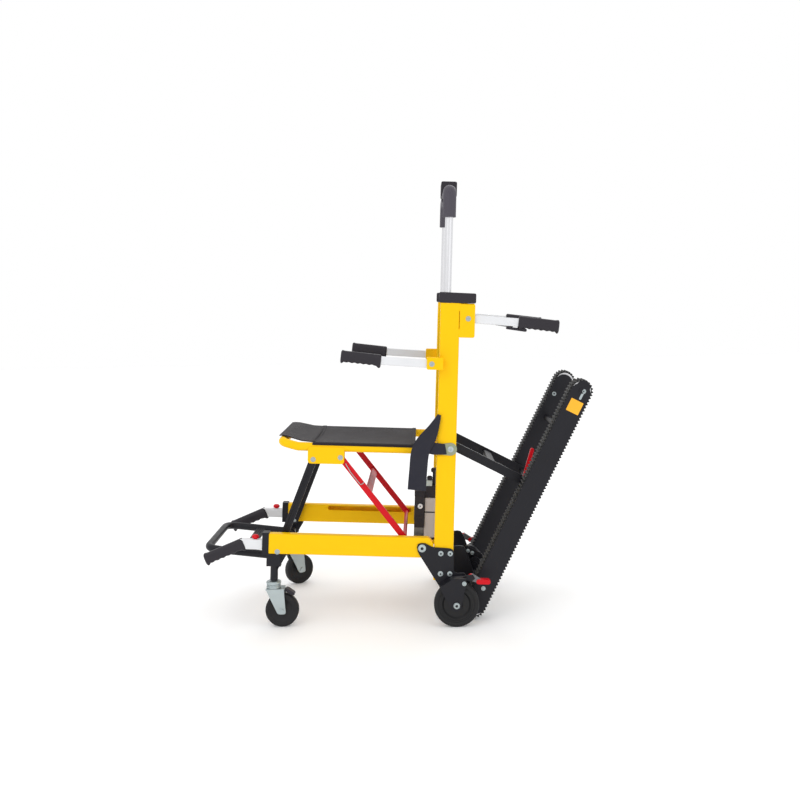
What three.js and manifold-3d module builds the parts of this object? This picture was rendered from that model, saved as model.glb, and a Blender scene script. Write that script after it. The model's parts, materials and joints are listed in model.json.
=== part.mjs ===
// Powered tracked stair chair: a folding transport chair with two rear wheels, two front
// casters, lift handles and a pair of rubber stair tracks on a swing-out frame.
// Millimetres. Each piece is drawn in the chair's own frame, whose origin is the rail pivot:
// X points to the rear, Y to the occupant's right, Z along the posts. The whole chair is
// then leaned back by RECLINE, so that all four wheels stand on one level floor.
import * as THREE from "three";
import { mergeVertices } from "three/addons/utils/BufferGeometryUtils.js";
import Module from "manifold-3d";

const wasm = await Module();
wasm.setup();

// ---- driving dimensions ----
const RECLINE = THREE.MathUtils.degToRad(2.74);
const FLOOR_DROP = 228.5; // rail pivot above the floor
const GAP = 0.3; // left between pieces that touch

const SIDE_IN = 205; // posts and rails, inner face
const SIDE_OUT = 235; // posts and rails, outer face
const SIDE_MID = (SIDE_IN + SIDE_OUT) / 2;
const WALL = 2;

const POST = { front: 36, back: 94, bottom: -95, top: 734.7 };
const REAR_BOX = { back: 140, bottom: 632 };
const CAP = { front: 31, back: 142, bottom: 735, top: 767 };
const RAIL = { front: -459, half: 30, heel: 35.2 };
const SLOT = { front: -322, back: -37, low: 12, high: 26 };
const COLLAR = { front: -478.5, back: -459.3 };

const SEAT_PIVOT = [77.4, 297.9];
const SEAT_TUBE = { y: 187, r: 13, z: 287, front: -433, frontZ: 299 };
const STRUT_FOOT = [-432.6, -23];
const STRUT_HEAD = [-336.2, 250.5];
const BRACE_HEAD = [-254, 258.1];
const BRACE_FOOT = [-53, 18];
const CHANNEL = { front: -353, back: -242, bottom: 238 };

const HANDLE_X = 55;
const LEG_R = 12;
const CROSSBAR_Z = 1073;
const FOAM_R = 20;
const FOAM_BOTTOM = 992;
const CONTROL = { front: 31.5, back: 82, half: 48, bottom: 1071, top: 1120 };

const MID_PIVOT = [14, 552.2];
const MID_ELBOW = [-137, 557];
const MID_TIP = [-257, 567];
const REAR_PIVOT = [120, 689];
const REAR_ELBOW = [271, 682];
const REAR_TIP = [393, 671];
const LOW_TUBE = { front: -545, back: -330, low: -19.5, high: 10.5, half: 10 };
const LOW_GRIP_START = [-537, -4.5];
const LOW_GRIP_END = [-648, -55.5];
const KNOB_X = -501;

const CASTER = { x: -442, z: -125, trail: 24, r: 50, width: 30 };
const FAR_CASTER_TURN = THREE.MathUtils.degToRad(35);
const FOOT_HINGE = [-440, -54];
const FOOTREST = { y: 160, r: 11.5, front: -658, frontZ: -37, bend: 42 };

const AXLE = [106.3, -156.6];
const REAR_WHEEL = { r: 67, inner: 243, outer: 271 };
const YOKE = { inner: 235.3, plate: 4, outer: 275 };
const PEDAL_PIVOT = [150.4, -77];

const TRACK_FOOT = [163, -178];
const TRACK_LENGTH = 725;
const TRACK_LEAN = THREE.MathUtils.degToRad(24.94);
const BELT = { inner: 145, outer: 205, r: 36, thick: 6.5 };
const TRACK_FACE_IN = 141;
const TRACK_FACE_OUT = 208.8;
const LINK = { y: 125, thick: 10, half: 13.5, length: 278.3 };

// ---- finishes ----
const FINISHES = {
  yellow: [0xf7c404, 0.38, 0.15],
  black: [0x1b1d22, 0.45, 0.3],
  plastic: [0x17181b, 0.6, 0],
  silver: [0xd9dadd, 0.3, 0.9],
  zinc: [0x9aa7a9, 0.4, 0.8],
  grey: [0x8a8d92, 0.5, 0.4],
  red: [0xc41c28, 0.4, 0.1],
  fabric: [0x4d4650, 0.9, 0],
  webbing: [0x2c3040, 0.85, 0],
  foam: [0x141416, 0.85, 0],
  rubber: [0x1a1a1b, 0.8, 0],
};

// ---- solids ----
function solid(geometry) {
  const bare = geometry.index ? geometry.toNonIndexed() : geometry.clone();
  bare.deleteAttribute("normal");
  bare.deleteAttribute("uv");
  const merged = mergeVertices(bare, 1e-3);
  return new wasm.Manifold(
    new wasm.Mesh({
      numProp: 3,
      vertProperties: merged.attributes.position.array,
      triVerts: new Uint32Array(merged.index.array),
    }),
  );
}

function geometryOf(made) {
  const mesh = made.getMesh();
  const geometry = new THREE.BufferGeometry();
  geometry.setAttribute("position", new THREE.BufferAttribute(mesh.vertProperties, 3));
  geometry.setIndex(new THREE.BufferAttribute(mesh.triVerts, 1));
  return geometry;
}

const join = (first, ...rest) => rest.reduce((sum, piece) => sum.add(piece), first);
const cut = (first, ...rest) => rest.reduce((sum, piece) => sum.subtract(piece), first);

// A pair of Y limits on one side of the chair: side is -1 (left) or 1 (right).
const across = (side, low, high) => (side > 0 ? [low, high] : [-high, -low]);

function block([x0, x1], [y0, y1], [z0, z1]) {
  const geometry = new THREE.BoxGeometry(x1 - x0, y1 - y0, z1 - z0);
  return solid(geometry.translate((x0 + x1) / 2, (y0 + y1) / 2, (z0 + z1) / 2));
}

// A flat outline in the XZ plane, given thickness along Y.
function plate(shape, [y0, y1], segments = 8) {
  const geometry = new THREE.ExtrudeGeometry(shape, {
    depth: y1 - y0,
    bevelEnabled: false,
    curveSegments: segments,
  });
  return solid(geometry.rotateX(Math.PI / 2).translate(0, y1, 0));
}

function polygon(points) {
  return new THREE.Shape(points.map(([x, z]) => new THREE.Vector2(x, z)));
}

// A bar with round ends from one point to another; its ends may differ in radius.
function bar([x0, z0], [x1, z1], r0, r1 = r0) {
  const angle = Math.atan2(z1 - z0, x1 - x0);
  const flare = Math.asin((r0 - r1) / Math.hypot(x1 - x0, z1 - z0));
  const start = angle + Math.PI / 2 - flare;
  const end = angle - Math.PI / 2 + flare;
  const shape = new THREE.Shape();
  shape.absarc(x0, z0, r0, start, end + 2 * Math.PI, false);
  shape.absarc(x1, z1, r1, end, start, false);
  return shape;
}

// An outline with its corners rounded.
function roundedPolygon(points, radius) {
  const corners = points.map(([x, z]) => new THREE.Vector2(x, z));
  const shape = new THREE.Shape();
  corners.forEach((corner, i) => {
    const before = corners[(i + corners.length - 1) % corners.length];
    const after = corners[(i + 1) % corners.length];
    const from = before.clone().sub(corner);
    const to = after.clone().sub(corner);
    const reach = Math.min(radius, from.length() / 2.1, to.length() / 2.1);
    const enter = corner.clone().add(from.setLength(reach));
    const leave = corner.clone().add(to.setLength(reach));
    if (i === 0) shape.moveTo(enter.x, enter.y);
    else shape.lineTo(enter.x, enter.y);
    shape.quadraticCurveTo(corner.x, corner.y, leave.x, leave.y);
  });
  shape.closePath();
  return shape;
}

function rodY([x, z], r, [y0, y1], sides = 12) {
  const geometry = new THREE.CylinderGeometry(r, r, y1 - y0, sides);
  return solid(geometry.translate(x, (y0 + y1) / 2, z));
}

function rodZ([x, y], r, [z0, z1], sides = 12) {
  const geometry = new THREE.CylinderGeometry(r, r, z1 - z0, sides);
  return solid(geometry.rotateX(Math.PI / 2).translate(x, y, (z0 + z1) / 2));
}

// A path with a station at each end and several round each bend.
class Route extends THREE.Curve {
  constructor(corners, radius, turns = 4) {
    super();
    const points = corners.map((corner) => new THREE.Vector3(...corner));
    this.stations = [points[0]];
    for (let i = 1; i < points.length - 1; i += 1) {
      const from = points[i - 1].clone().sub(points[i]).normalize();
      const to = points[i + 1].clone().sub(points[i]).normalize();
      const half = from.angleTo(to) / 2;
      const reach = radius / Math.tan(half);
      const enter = points[i].clone().addScaledVector(from, reach);
      const leave = points[i].clone().addScaledVector(to, reach);
      const inward = from.clone().add(to).normalize();
      const centre = points[i].clone().addScaledVector(inward, radius / Math.sin(half));
      for (let k = 0; k <= turns; k += 1) {
        const arm = enter.clone().sub(centre).lerp(leave.clone().sub(centre), k / turns);
        this.stations.push(centre.clone().add(arm.setLength(radius)));
      }
    }
    this.stations.push(points[points.length - 1]);
    this.steps = this.stations.length - 1;
  }
  getPoint(t) {
    return this.stations[Math.round(t * this.steps)].clone();
  }
  getPointAt(t) {
    return this.getPoint(t);
  }
  getTangentAt(t) {
    const i = Math.round(t * this.steps);
    const before = this.stations[Math.max(i - 1, 0)];
    const after = this.stations[Math.min(i + 1, this.steps)];
    const here = this.stations[i];
    const back = here.clone().sub(before).normalize();
    const ahead = after.clone().sub(here).normalize();
    return back.add(ahead).normalize();
  }
}

function pipe(route, r, sides = 12, bore = 0) {
  const section = new THREE.Shape().absarc(0, 0, r, 0, 2 * Math.PI, false);
  if (bore) section.holes.push(new THREE.Path().absarc(0, 0, bore, 0, 2 * Math.PI, true));
  const geometry = new THREE.ExtrudeGeometry(section, {
    steps: route.steps,
    extrudePath: route,
    curveSegments: sides / 2, // an arc takes two points for each
    bevelEnabled: false,
  });
  return solid(geometry);
}

// A round part about the Y axis, from a half outline of [radius, y] pairs.
function turned(profile, [x, z], sides = 32, phase = 0) {
  const points = profile.map(([r, y]) => new THREE.Vector2(r, y));
  const geometry = new THREE.LatheGeometry(points, sides);
  return solid(geometry.rotateY(phase).translate(x, 0, z));
}

const chair = new THREE.Group();
chair.rotation.y = RECLINE;

function add(name, made, finish, parent = chair) {
  const [color, roughness, metalness] = FINISHES[finish];
  const material = new THREE.MeshStandardMaterial({ color, roughness, metalness });
  const mesh = new THREE.Mesh(geometryOf(made), material);
  mesh.name = name;
  parent.add(mesh);
  return mesh;
}

const SIDES = [
  ["left", -1],
  ["right", 1],
];

// ---- back frame ----
function post(side) {
  const hollow = block([POST.front + WALL, POST.back - WALL],
    across(side, SIDE_IN + WALL, SIDE_OUT - WALL), [POST.bottom - 1, POST.top + 1]);
  const tube = cut(
    block([POST.front, POST.back], across(side, SIDE_IN, SIDE_OUT), [POST.bottom, POST.top]),
    hollow,
  );
  const cheekX = [POST.back - 1, REAR_BOX.back];
  const cheekZ = [REAR_BOX.bottom, POST.top];
  return join(
    tube,
    block(cheekX, across(side, SIDE_IN, SIDE_IN + 3), cheekZ),
    block(cheekX, across(side, SIDE_OUT - 3, SIDE_OUT), cheekZ),
    block(cheekX, across(side, SIDE_IN, SIDE_OUT), [POST.top - 3, POST.top]),
    rodY(REAR_PIVOT, 5, across(side, SIDE_IN + 1, SIDE_OUT + 1)),
    rodY(REAR_PIVOT, 7.5, across(side, SIDE_OUT - 1, SIDE_OUT + 2.5), 12),
  );
}

// The U bracket that carries the folding mid handle, outboard of the post.
function midBracket(side) {
  const z = [535.5, 572];
  return join(
    block([-1, 48], across(side, SIDE_OUT - 0.5, SIDE_OUT + 4), z),
    block([-1, 48], across(side, 259.5, 263), z),
    block([44, 48], across(side, SIDE_OUT - 0.5, 263), z),
    rodY(MID_PIVOT, 5, across(side, SIDE_OUT + 1, 262)),
    rodY(MID_PIVOT, 7.5, across(side, 262, 265.5), 12),
  );
}

function postCap(side) {
  const outline = roundedPolygon([
    [CAP.front, CAP.bottom],
    [CAP.back, CAP.bottom],
    [CAP.back, CAP.top - 2],
    [CAP.front, CAP.top],
  ], 5);
  return cut(
    plate(outline, across(side, SIDE_IN - 1.5, SIDE_OUT + 1.5), 3),
    rodZ([HANDLE_X, side * SIDE_MID], LEG_R + 0.6, [CAP.bottom - 1, CAP.top + 1], 14),
  );
}

// Gusset on the outside of the post and rail pivot, with the yoke that holds the rear wheel.
function wheelYoke(side) {
  const plateY = across(side, YOKE.inner, YOKE.inner + YOKE.plate);
  const outerY = across(side, YOKE.outer, YOKE.outer + YOKE.plate);
  const gusset = roundedPolygon([
    [-16, 14], [10, 16], [28, 4], [95, 1], [96, -72], [132, -70],
    [133, -84], [122, -170], [92, -176], [57, -116], [-14, -10],
  ], 12);
  const fork = roundedPolygon([
    [55, -108], [95, -82], [133, -79], [133, -90], [118, -174], [94, -174],
  ], 8);
  const flange = polygon([
    [55, -109], [94, -83], [133, -80], [133, -76], [93, -79], [54, -105],
  ]);
  const ear = polygon([
    [120, -83], [120, -77], [135, -69], [152, -67], [159, -78], [150, -87], [132, -83.5],
  ]);
  const bolts = [[56.5, -14], [84.5, -13.5], [56.8, -74.3], [85, -73.8], [0, 0]];
  return join(
    plate(gusset, plateY, 2),
    plate(fork, outerY, 2),
    plate(flange, across(side, YOKE.inner, YOKE.outer + YOKE.plate)),
    plate(ear, across(side, 263.5, 267)),
    rodY(PEDAL_PIVOT, 4, across(side, 251, 266)),
    rodY(AXLE, 6, across(side, YOKE.inner + 1, YOKE.outer + 2)),
    rodY(AXLE, 9, across(side, YOKE.outer + 2, YOKE.outer + 8), 12),
    ...bolts.map((at, i) => rodY(at, i < 4 ? 5.5 : 9, across(side, 238, 242), 8)),
  );
}

function lowerCrossMember() {
  const arm = roundedPolygon([
    [50, -30], [131, -21], [150, -62], [182, -160], [182, -198],
    [146, -198], [138, -150], [98, -100], [50, -70],
  ], 12);
  const bearing = (y) => rodY(TRACK_FOOT, 8.8, [y - 5, y + 5]);
  const arms = [-104, 98].map((y) => cut(plate(arm, [y, y + 6], 2), bearing(y + 3)));
  return join(
    rodY([62, -50], 11, [-SIDE_IN + GAP, SIDE_IN - GAP]),
    ...arms,
    block([-26, 75], [-72, 72], [-14, -9]),
    block([58, 66], [-60, 60], [-50, -10]),
    block([71.5, 75], [-72, 72], [-12, 100]),
  );
}

const crossBar = (z) => block([82.5, 92.5], [-SIDE_IN + GAP, SIDE_IN - GAP], [z - 18, z + 18]);

function driveUnit() {
  const arm = roundedPolygon([
    [139, -28], [192, -56], [196, -72], [150, -60], [136, -48],
  ], 6);
  return join(
    rodY([131, -98], 26, [-86, -58], 18),
    rodY([168, -84], 20.5, [-76, 70], 18),
    rodY([168, -84], 8, [-84, -70], 12),
    plate(arm, [-66, -58], 4),
    rodY([146, -46], 5, [-70, -60], 10),
    rodY([160, -52], 5, [-70, -60], 10),
    block([120, 160], [-58, 20], [-96, -70]),
  );
}

function beltAnchor(side) {
  const outline = roundedPolygon([[38, 277], [92, 277], [92, 317], [38, 317]], 9);
  return join(
    plate(outline, across(side, SIDE_OUT + GAP, SIDE_OUT + 3.5), 4),
    rodY(SEAT_PIVOT, 10, across(side, SIDE_OUT + 3, SIDE_OUT + 9), 12),
  );
}

function buildBackFrame() {
  for (const [name, side] of SIDES) {
    add(`post_${name}`, join(post(side), midBracket(side)), "yellow");
    add(`post_cap_${name}`, postCap(side), "plastic");
    add(`wheel_yoke_${name}`, wheelYoke(side), "black");
  }
  add("backrest_top_bar", crossBar(698), "black");
  add("backrest_low_bar", crossBar(368), "black");
  add("pivot_axle", rodY(SEAT_PIVOT, 8, [-SIDE_IN + GAP, SIDE_IN - GAP]), "silver");
  add("lower_cross_member", lowerCrossMember(), "black");
  add("backrest_sling", block([77, 82], [-184, 184], [352, 714]), "fabric");
  const battery = join(block([6, 70], [-68, 68], [-8.5, 116]), block([6, 66], [-62, 62], [115, 153]));
  add("battery_pack", battery, "grey");
  add("control_module", block([-26, 5.6], [-76, 76], [24, 140]), "plastic");
  add("drive_unit", driveUnit(), "black");
  const strap = polygon([
    [58, 286], [58, 312], [40, 322], [37, 392], [30, 399], [22, 392], [8, 358],
    [-30, 334], [-51, 170], [-25, 165], [14, 318], [20, 286],
  ]);
  const rivet = rodY([48, 298], 6, [-246, -236], 12);
  add("lap_belt_left", join(beltAnchor(-1), rivet, plate(strap, [-246.5, -243])), "webbing");
  const hanging = block([44, 86], [238.2, 241.7], [120, 300]);
  add("lap_belt_right", join(beltAnchor(1), hanging), "webbing");
}

// ---- lower rails and what they carry ----
function rail(side) {
  const y = across(side, SIDE_IN, SIDE_OUT);
  const yIn = across(side, SIDE_IN + WALL, SIDE_OUT - WALL);
  const inner = RAIL.half - WALL;
  const outline = polygon([
    [RAIL.front, -RAIL.half], [0, -RAIL.half], [0, RAIL.half], [RAIL.front, RAIL.half],
  ]);
  const heel = plate(new THREE.Shape().absarc(0, 0, RAIL.heel, 0, 2 * Math.PI), y, 20)
    .intersect(block([-10, 40], y, [-RAIL.half, RAIL.half]));
  return join(
    cut(
      join(plate(outline, y), heel),
      block([RAIL.front - 1, -20], yIn, [-inner, inner]),
      block([SLOT.front, SLOT.back], across(side, SIDE_IN - 1, SIDE_IN + WALL + 1), [SLOT.low, SLOT.high]),
    ),
    rodY(STRUT_FOOT, 5, across(side, 184, SIDE_IN + 1), 12),
    rodY(STRUT_FOOT, 7.5, across(side, SIDE_OUT - 1, SIDE_OUT + 2.5), 12),
  );
}

// Black end casting: the collar that the low handle slides through and the caster leg.
function railEnd(side) {
  const bore = block([COLLAR.front - 1, COLLAR.back + 1],
    across(side, SIDE_MID - LOW_TUBE.half - 0.5, SIDE_MID + LOW_TUBE.half + 0.5),
    [LOW_TUBE.low - 0.5, LOW_TUBE.high + 0.5]);
  const collar = cut(
    block([COLLAR.front, COLLAR.back], across(side, SIDE_IN - 1, SIDE_OUT + 1), [-33.5, 33]),
    bore,
  );
  const web = polygon([[-431, -31], [-407, -31], [-407, -36], [-430.5, -78]]);
  const legBore = rodZ([CASTER.x, side * SIDE_MID], 7.5, [-120, -70], 16);
  return cut(
    join(
      collar,
      block([-464.7, -422], across(side, 208, 232), [-68, -RAIL.half - GAP]),
      plate(web, across(side, 213, 227)),
      rodZ([CASTER.x, side * SIDE_MID], 11.5, [-111.5, -60], 14),
    ),
    legBore,
  );
}

function buildRails() {
  for (const [name, side] of SIDES) {
    add(`rail_${name}`, rail(side), "yellow");
    add(`rail_end_${name}`, railEnd(side), "black");
  }
  add("front_cross_tube", rodY(FOOT_HINGE, 9, [-208 + GAP, 208 - GAP]), "black");
}

function footrest() {
  const { y, r, front, frontZ, bend } = FOOTREST;
  const loop = pipe(new Route([
    [FOOT_HINGE[0], -y, FOOT_HINGE[1]],
    [front, -y, frontZ],
    [front, y, frontZ],
    [FOOT_HINGE[0], y, FOOT_HINGE[1]],
  ], bend), r);
  const sleeve = (at) => rodY(FOOT_HINGE, 14, [at - 13, at + 13], 14);
  const bore = rodY(FOOT_HINGE, 9.5, [-y - 20, y + 20]);
  const tread = block([-556, -524], [-y, y], [-49, -43]);
  return cut(join(loop, sleeve(-y), sleeve(y), tread), bore);
}

function lowTube(side) {
  const y = across(side, SIDE_MID - LOW_TUBE.half, SIDE_MID + LOW_TUBE.half);
  const yIn = [y[0] + WALL, y[1] - WALL];
  const outline = polygon([
    [LOW_TUBE.back, LOW_TUBE.low], [LOW_TUBE.back, LOW_TUBE.high],
    [LOW_TUBE.front - 2, LOW_TUBE.high], [LOW_TUBE.front + 10, LOW_TUBE.low],
  ]);
  return cut(
    plate(outline, y),
    block([LOW_TUBE.front + 14, LOW_TUBE.back + 1], yIn, [LOW_TUBE.low + WALL, LOW_TUBE.high - WALL]),
    rodZ([KNOB_X, side * SIDE_MID], 4.6, [0, 20], 12),
  );
}

const gripShape = (start, end, half) => {
  const along = new THREE.Vector2(end[0] - start[0], end[1] - start[1]).normalize();
  const up = new THREE.Vector2(-along.y, along.x).multiplyScalar(half);
  const corner = (at, sign) => [at[0] + sign * up.x, at[1] + sign * up.y];
  return roundedPolygon([corner(start, 1), corner(start, -1), corner(end, -1), corner(end, 1)], 8);
};

function knob(side) {
  const profile = [[0, 2], [4, 2], [4, 17], [9, 19], [10, 24], [8, 28], [0, 30]];
  const points = profile.map(([r, z]) => new THREE.Vector2(r, z));
  const geometry = new THREE.LatheGeometry(points, 16);
  return solid(geometry.rotateX(Math.PI / 2).translate(KNOB_X, side * SIDE_MID, 0));
}

function buildLowHandles() {
  for (const [name, side] of SIDES) {
    const outline = gripShape(LOW_GRIP_START, LOW_GRIP_END, 18.5);
    const grip = plate(outline, across(side, SIDE_IN + 0.5, SIDE_OUT - 0.5), 4);
    add(`low_handle_${name}`, join(lowTube(side), grip), "silver");
    add(`plunger_knob_${name}`, knob(side), "red");
  }
}

// ---- casters, upright on the floor ----
function casterFork() {
  const plateY = CASTER.width / 2 + 4;
  const cheek = roundedPolygon([
    [-22, -9], [33, -9], [33, -24], [CASTER.trail + 13, -84], [CASTER.trail - 11, -84],
  ], 7);
  const axle = [CASTER.trail, -74.8];
  return join(
    rodZ([0, 0], 5, [0, 40], 12),
    rodZ([0, 0], 20, [-9, 11.5], 16),
    block([-22, 33], [-plateY - 3, plateY + 3], [-13, -9]),
    plate(cheek, [-plateY - 3, -plateY], 4),
    plate(cheek, [plateY, plateY + 3], 4),
    rodY(axle, 4.5, [-plateY - 1, plateY + 1], 12),
    rodY(axle, 8, [-plateY - 6, -plateY - 2], 12),
    rodY(axle, 8, [plateY + 2, plateY + 6], 12),
  );
}

function casterWheel() {
  const half = CASTER.width / 2;
  const profile = [
    [5, -half], [CASTER.r - 5, -half], [CASTER.r, -half + 6],
    [CASTER.r, half - 6], [CASTER.r - 5, half], [5, half], [5, -half],
  ];
  return turned(profile, [CASTER.trail, -74.8], 28);
}

function casterPedal() {
  const lever = roundedPolygon([[35, -10], [44, -11], [63, -25], [63, -31], [56, -30], [36, -18]], 3);
  return plate(lever, [-12, 12], 3);
}

function buildCasters() {
  for (const [name, side] of SIDES) {
    const caster = new THREE.Group();
    caster.position.set(CASTER.x, side * SIDE_MID, CASTER.z);
    caster.rotation.set(0, -RECLINE, side > 0 ? FAR_CASTER_TURN : 0, "YZX");
    chair.add(caster);
    add(`caster_fork_${name}`, casterFork(), "zinc", caster);
    add(`caster_wheel_${name}`, casterWheel(), "rubber", caster);
    add(`caster_pedal_${name}`, casterPedal(), "plastic", caster);
  }
}

// ---- rear wheels ----
function rearWheel(side) {
  const { r, inner, outer } = REAR_WHEEL;
  const mid = (inner + outer) / 2;
  const half = (outer - inner) / 2;
  const profile = [
    [6.6, -half], [16, -half], [20, -half + 5], [40, -half + 5], [44, -half], [r - 6, -half],
    [r, -half + 7], [r, half - 7], [r - 6, half], [6.6, half], [6.6, -half],
  ];
  return turned(profile, AXLE, 28, -RECLINE).translate([0, side * mid, 0]);
}

function brakePedal(side) {
  const lever = bar([148, -76], [176, -89], 9, 6);
  const grip = bar([170, -88], [198, -88], 7);
  return cut(
    join(
      plate(lever, across(side, 252, 262), 5),
      plate(grip, across(side, 247, 267), 5),
    ),
    rodY(PEDAL_PIVOT, 4.6, [-270, 270]),
  );
}

function buildRearWheels() {
  for (const [name, side] of SIDES) {
    add(`rear_wheel_${name}`, rearWheel(side), "rubber");
    add(`brake_pedal_${name}`, brakePedal(side), "red");
  }
}

// ---- seat, struts and brace ----
function seatFrame() {
  const { y, r, z, front, frontZ } = SEAT_TUBE;
  const loop = pipe(new Route([
    [SEAT_PIVOT[0] - 6, -y, z], [-385, -y, z], [front, -y, frontZ],
    [front, y, frontZ], [-385, y, z], [SEAT_PIVOT[0] - 6, y, z],
  ], 40, 4), r, 14);
  const sides = SIDES.flatMap(([, side]) => {
    const outer = across(side, y + 12, y + 15.2);
    const inner = across(side, y - 9, y - 6);
    const cheek = roundedPolygon([
      [CHANNEL.front, CHANNEL.bottom], [CHANNEL.back, CHANNEL.bottom],
      [CHANNEL.back, z], [CHANNEL.front, z],
    ], 12);
    return [
      plate(cheek, outer, 4),
      plate(cheek, inner, 4),
      block([CHANNEL.front + 6, CHANNEL.back - 6], across(side, y - 9, y + 15.2), [z - r - 3, z - r + 1]),
      rodY(STRUT_HEAD, 3.7, across(side, y - 8, y + 14), 12),
      rodY(BRACE_HEAD, 4, across(side, y - 8, y + 14), 12),
      rodY(STRUT_HEAD, 7, across(side, y + 14, y + 17.5), 12),
      rodY(BRACE_HEAD, 7, across(side, y + 14, y + 17.5), 12),
      rodY(SEAT_PIVOT, 17, across(side, y - 10, y + 12), 14),
    ];
  });
  return cut(join(loop, ...sides), rodY(SEAT_PIVOT, 8.6, [-204, 204]));
}

function seatSling() {
  const { y, r, z } = SEAT_TUBE;
  const skin = r + 3.2;
  const section = new THREE.Shape();
  section.moveTo(-y - skin, z + 9);
  section.absarc(-y, z, skin, Math.PI - 0.5, Math.PI / 2, true);
  section.quadraticCurveTo(0, z + skin - 12, y, z + skin);
  section.absarc(y, z, skin, Math.PI / 2, 0.5, true);
  section.lineTo(y + r * 0.93, z + 7);
  section.absarc(y, z, r + GAP, 0.5, Math.PI / 2 + 0.4, false);
  section.quadraticCurveTo(0, z + r - 14, -y + 5, z + r);
  section.absarc(-y, z, r + GAP, Math.PI / 2 - 0.4, Math.PI - 0.5, false);
  section.closePath();
  const body = new THREE.ExtrudeGeometry(section, { depth: 309, bevelEnabled: false, curveSegments: 6 });
  body.rotateX(Math.PI / 2).rotateZ(Math.PI / 2).translate(-341, 0, 0);
  const top = SEAT_TUBE.frontZ + r;
  const flap = polygon([
    [-447, top + GAP], [-447, top + 4], [-420, top + 4], [-336, z + r - 2],
    [-336, z + r - 8], [-415, top + GAP],
  ]);
  return join(solid(body), plate(flap, [-150, 150]));
}

function strut(side) {
  const y = across(side, 186, 198);
  const groove = across(side, 194, 199);
  const part = (t) => STRUT_FOOT.map((v, i) => v + t * (STRUT_HEAD[i] - v));
  return cut(
    plate(bar(STRUT_FOOT, STRUT_HEAD, 11.5), y, 6),
    plate(bar(part(0.14), part(0.84), 4), groove, 4),
    rodY(STRUT_FOOT, 5.6, [-200, 200], 12),
    rodY(STRUT_HEAD, 9.5, [-200, 200], 16),
  );
}

function brace() {
  const part = (t) => BRACE_HEAD.map((v, i) => v + t * (BRACE_FOOT[i] - v));
  const bars = SIDES.map(([, side]) => plate(bar(BRACE_HEAD, BRACE_FOOT, 9), across(side, 188, 196), 6));
  return cut(
    join(
      ...bars,
      rodY(BRACE_FOOT, 6, [-203.5, 203.5]),
      plate(bar(part(0.41), part(0.46), 5), [-190, 190], 3),
    ),
    rodY(BRACE_HEAD, 4.6, [-200, 200], 12),
  );
}

function buildSeat() {
  add("seat_frame", seatFrame(), "yellow");
  add("seat_sling", seatSling(), "fabric");
  add("brace_frame", brace(), "red");
  for (const [name, side] of SIDES) add(`strut_${name}`, strut(side), "black");
}

// ---- handles on the posts ----
// A lift handle that folds about a bolt: a flat bar and the thicker grip on its end.
function foldingHandle(side, route, barHalf, barY, gripHalf, gripY) {
  const [pivot, elbow, tip] = route;
  return cut(
    join(
      plate(bar(pivot, elbow, barHalf), across(side, ...barY), 6),
      plate(gripShape(elbow, tip, gripHalf), across(side, ...gripY), 4),
    ),
    rodY(pivot, 5.6, [-300, 300], 12),
  );
}

function buildPostHandles() {
  const mid = [MID_PIVOT, MID_ELBOW, MID_TIP];
  const rear = [REAR_PIVOT, REAR_ELBOW, REAR_TIP];
  for (const [name, side] of SIDES) {
    add(`mid_handle_${name}`, foldingHandle(side, mid, 12.5, [242, 257], 19, [238, 262]), "silver");
    add(`rear_handle_${name}`, foldingHandle(side, rear, 14, [210, 230], 20, [206, 234]), "silver");
  }
}

function buildTopHandle() {
  const legs = pipe(new Route([
    [HANDLE_X, -SIDE_MID, 480],
    [HANDLE_X, -SIDE_MID, CROSSBAR_Z],
    [HANDLE_X, SIDE_MID, CROSSBAR_Z],
    [HANDLE_X, SIDE_MID, 480],
  ], 45), LEG_R, 14);
  add("top_handle_tube", legs, "silver");
  for (const [name, side] of SIDES) {
    const foam = pipe(new Route([
      [HANDLE_X, side * SIDE_MID, FOAM_BOTTOM],
      [HANDLE_X, side * SIDE_MID, CROSSBAR_Z],
      [HANDLE_X, side * (CONTROL.half + 2), CROSSBAR_Z],
    ], 45), FOAM_R, 14);
    add(`top_grip_${name}`, cut(foam, pipe(new Route([
      [HANDLE_X, side * SIDE_MID, 900],
      [HANDLE_X, side * SIDE_MID, CROSSBAR_Z],
      [HANDLE_X, 0, CROSSBAR_Z],
    ], 45), LEG_R + 0.5, 14)), "foam");
  }
  const outline = roundedPolygon([
    [CONTROL.front, CONTROL.bottom], [CONTROL.back, CONTROL.bottom],
    [CONTROL.back, CONTROL.top], [CONTROL.front, CONTROL.top],
  ], 6);
  const box = cut(
    plate(outline, [-CONTROL.half, CONTROL.half], 4),
    rodY([HANDLE_X, CROSSBAR_Z], LEG_R + 0.5, [-90, 90]),
    block([62, 90], [-16, 16], [CONTROL.top - 22, CONTROL.top + 1]),
  );
  add("control_box", box, "plastic");
  const rocker = roundedPolygon([
    [66, CONTROL.top - 19], [79, CONTROL.top - 19], [79, CONTROL.top + 1], [66, CONTROL.top + 3],
  ], 3);
  add("direction_rocker", plate(rocker, [-14.5, 14.5], 3), "red");
}

// ---- stair track ----
const trackPoint = (along, aside = 0) => [
  TRACK_FOOT[0] + along * Math.sin(TRACK_LEAN) + aside * Math.cos(TRACK_LEAN),
  TRACK_FOOT[1] + along * Math.cos(TRACK_LEAN) - aside * Math.sin(TRACK_LEAN),
];
const TRACK_HEAD = trackPoint(TRACK_LENGTH);

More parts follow.
